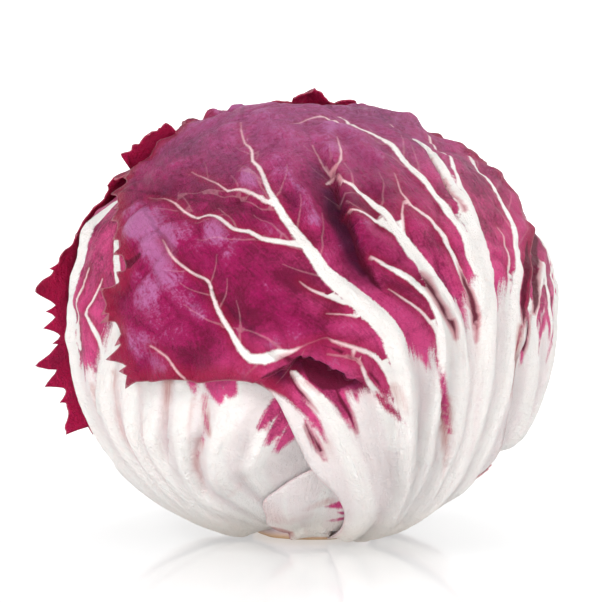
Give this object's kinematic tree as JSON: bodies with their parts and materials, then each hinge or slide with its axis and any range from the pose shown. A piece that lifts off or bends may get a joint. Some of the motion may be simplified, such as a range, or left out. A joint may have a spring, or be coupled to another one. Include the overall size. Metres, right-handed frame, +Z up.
{
  "type": "radicchio head",
  "caption": "Round radicchio head: loose veined leaves with cut edges wrapped over a packed heart, standing on its cut stem.",
  "frame": {"origin": "centre of the cut face of the stem, on the surface that the head rests on", "axes": "+Z up through the crown; -Y towards the viewer of the picture, the side where the long wrapping leaf folds over; +X to that viewer's right"},
  "size_m": [0.1309, 0.1217, 0.1084],
  "materials": {
    "leaf": "satin",
    "heart": "satin",
    "stem": "matte"
  },
  "bodies": {
    "root": {"stem": "stem", "heart": "heart", "leaf_left": "leaf", "leaf_right": "leaf", "leaf_back_left": "leaf", "leaf_base_front": "leaf", "leaf_wrap": "leaf", "leaf_base_right": "leaf", "leaf_back": "leaf"}
  },
  "joints": []
}
